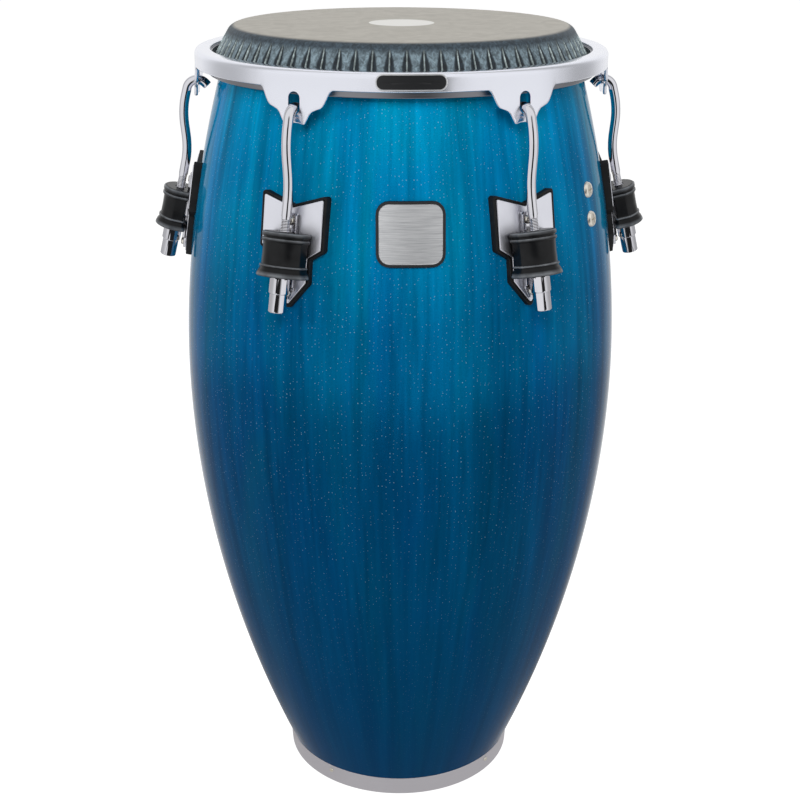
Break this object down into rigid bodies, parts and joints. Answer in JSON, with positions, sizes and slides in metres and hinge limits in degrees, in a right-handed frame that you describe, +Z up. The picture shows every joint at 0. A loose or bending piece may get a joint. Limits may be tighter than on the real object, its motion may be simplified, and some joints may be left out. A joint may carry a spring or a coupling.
{
  "type": "conga drum",
  "caption": "Tall barrel hand drum with a stave shell, flat head, slotted rim and hook tension rods on side plates.",
  "frame": {"origin": "on the floor under the middle of the drum", "axes": "+Z up along the drum's axis, front with the badge towards -Y, +X to the viewer's right"},
  "size_m": [0.4714, 0.4172, 0.762],
  "materials": {
    "shell_lacquer": "clear gloss lacquer over blue-stained staves, navy at the foot",
    "head_skin": "matt grey synthetic skin with a dark pleated collar",
    "hoop_steel": "plain steel hoop",
    "rim_chrome": "polished chrome",
    "rod_chrome": "polished chrome, threaded lower end",
    "nut_chrome": "polished chrome",
    "plate_chrome": "mirror chrome",
    "bracket_steel": "chromed pressed steel",
    "cover_plastic": "satin black moulding",
    "rubber": "black moulded rubber",
    "fastener_steel": "plated steel",
    "badge_metal": "brushed metal with a black enamel border, bare",
    "band_steel": "satin steel"
  },
  "bodies": {
    "shell": {"shell": "shell_lacquer", "drumhead": "head_skin", "badge": "badge_metal", "base_band": "band_steel", "foot_ring": "rubber", "shell_screw_upper": "fastener_steel", "shell_screw_lower": "fastener_steel", "plate_gasket_front_left": "rubber", "side_plate_front_left": "plate_chrome", "lug_bracket_front_left": "bracket_steel", "lug_cover_front_left": "cover_plastic", "plate_bolt_upper_front_left": "fastener_steel", "plate_bolt_lower_front_left": "fastener_steel", "plate_gasket_left": "rubber", "side_plate_left": "plate_chrome", "lug_bracket_left": "bracket_steel", "lug_cover_left": "cover_plastic", "plate_bolt_upper_left": "fastener_steel", "plate_bolt_lower_left": "fastener_steel", "plate_gasket_rear_left": "rubber", "side_plate_rear_left": "plate_chrome", "lug_bracket_rear_left": "bracket_steel", "lug_cover_rear_left": "cover_plastic", "plate_bolt_upper_rear_left": "fastener_steel", "plate_bolt_lower_rear_left": "fastener_steel", "plate_gasket_rear_right": "rubber", "side_plate_rear_right": "plate_chrome", "lug_bracket_rear_right": "bracket_steel", "lug_cover_rear_right": "cover_plastic", "plate_bolt_upper_rear_right": "fastener_steel", "plate_bolt_lower_rear_right": "fastener_steel", "plate_gasket_right": "rubber", "side_plate_right": "plate_chrome", "lug_bracket_right": "bracket_steel", "lug_cover_right": "cover_plastic", "plate_bolt_upper_right": "fastener_steel", "plate_bolt_lower_right": "fastener_steel", "plate_gasket_front_right": "rubber", "side_plate_front_right": "plate_chrome", "lug_bracket_front_right": "bracket_steel", "lug_cover_front_right": "cover_plastic", "plate_bolt_upper_front_right": "fastener_steel", "plate_bolt_lower_front_right": "fastener_steel"},
    "rim": {"rim": "rim_chrome", "flesh_hoop": "hoop_steel"},
    "rod_front_left": {"tension_rod_front_left": "rod_chrome"},
    "nut_front_left": {"tension_nut_front_left": "nut_chrome"},
    "rod_left": {"tension_rod_left": "rod_chrome"},
    "nut_left": {"tension_nut_left": "nut_chrome"},
    "rod_rear_left": {"tension_rod_rear_left": "rod_chrome"},
    "nut_rear_left": {"tension_nut_rear_left": "nut_chrome"},
    "rod_rear_right": {"tension_rod_rear_right": "rod_chrome"},
    "nut_rear_right": {"tension_nut_rear_right": "nut_chrome"},
    "rod_right": {"tension_rod_right": "rod_chrome"},
    "nut_right": {"tension_nut_right": "nut_chrome"},
    "rod_front_right": {"tension_rod_front_right": "rod_chrome"},
    "nut_front_right": {"tension_nut_front_right": "nut_chrome"}
  },
  "joints": [
    {"name": "rim_tuning", "type": "slide", "parent": "shell", "child": "rim", "axis": [0, 0, 1], "range_m": [-0.005, 0.005]},
    {"name": "rod_slide_front_left", "type": "slide", "parent": "shell", "child": "rod_front_left", "axis": [0.1159, 0.2007, 0.9728], "range_m": [-0.0052, 0.0052]},
    {"name": "nut_turn_front_left", "type": "hinge", "parent": "shell", "child": "nut_front_left", "pos_m": [-0.10476, -0.18145, 0.61074], "axis": [0.1159, 0.2007, 0.9728], "range_deg": [-1500, 1500]},
    {"name": "rod_slide_left", "type": "slide", "parent": "shell", "child": "rod_left", "axis": [0.2317, 0, 0.9728], "range_m": [-0.0052, 0.0052]},
    {"name": "nut_turn_left", "type": "hinge", "parent": "shell", "child": "nut_left", "pos_m": [-0.20952, 0, 0.61074], "axis": [0.2317, 0, 0.9728], "range_deg": [-1500, 1500]},
    {"name": "rod_slide_rear_left", "type": "slide", "parent": "shell", "child": "rod_rear_left", "axis": [0.1159, -0.2007, 0.9728], "range_m": [-0.0052, 0.0052]},
    {"name": "nut_turn_rear_left", "type": "hinge", "parent": "shell", "child": "nut_rear_left", "pos_m": [-0.10476, 0.18145, 0.61074], "axis": [0.1159, -0.2007, 0.9728], "range_deg": [-1500, 1500]},
    {"name": "rod_slide_rear_right", "type": "slide", "parent": "shell", "child": "rod_rear_right", "axis": [-0.1159, -0.2007, 0.9728], "range_m": [-0.0052, 0.0052]},
    {"name": "nut_turn_rear_right", "type": "hinge", "parent": "shell", "child": "nut_rear_right", "pos_m": [0.10476, 0.18145, 0.61074], "axis": [-0.1159, -0.2007, 0.9728], "range_deg": [-1500, 1500]},
    {"name": "rod_slide_right", "type": "slide", "parent": "shell", "child": "rod_right", "axis": [-0.2317, 0, 0.9728], "range_m": [-0.0052, 0.0052]},
    {"name": "nut_turn_right", "type": "hinge", "parent": "shell", "child": "nut_right", "pos_m": [0.20952, 0, 0.61074], "axis": [-0.2317, 0, 0.9728], "range_deg": [-1500, 1500]},
    {"name": "rod_slide_front_right", "type": "slide", "parent": "shell", "child": "rod_front_right", "axis": [-0.1159, 0.2007, 0.9728], "range_m": [-0.0052, 0.0052]},
    {"name": "nut_turn_front_right", "type": "hinge", "parent": "shell", "child": "nut_front_right", "pos_m": [0.10476, -0.18145, 0.61074], "axis": [-0.1159, 0.2007, 0.9728], "range_deg": [-1500, 1500]}
  ],
  "couplings": [
    {"joint": "rod_slide_front_left", "follows": "rim_tuning", "ratio": 1.028},
    {"joint": "nut_turn_front_left", "follows": "rim_tuning", "rad_per_m": -5167.2},
    {"joint": "rod_slide_left", "follows": "rim_tuning", "ratio": 1.028},
    {"joint": "nut_turn_left", "follows": "rim_tuning", "rad_per_m": -5167.2},
    {"joint": "rod_slide_rear_left", "follows": "rim_tuning", "ratio": 1.028},
    {"joint": "nut_turn_rear_left", "follows": "rim_tuning", "rad_per_m": -5167.2},
    {"joint": "rod_slide_rear_right", "follows": "rim_tuning", "ratio": 1.028},
    {"joint": "nut_turn_rear_right", "follows": "rim_tuning", "rad_per_m": -5167.2},
    {"joint": "rod_slide_right", "follows": "rim_tuning", "ratio": 1.028},
    {"joint": "nut_turn_right", "follows": "rim_tuning", "rad_per_m": -5167.2},
    {"joint": "rod_slide_front_right", "follows": "rim_tuning", "ratio": 1.028},
    {"joint": "nut_turn_front_right", "follows": "rim_tuning", "rad_per_m": -5167.2}
  ]
}
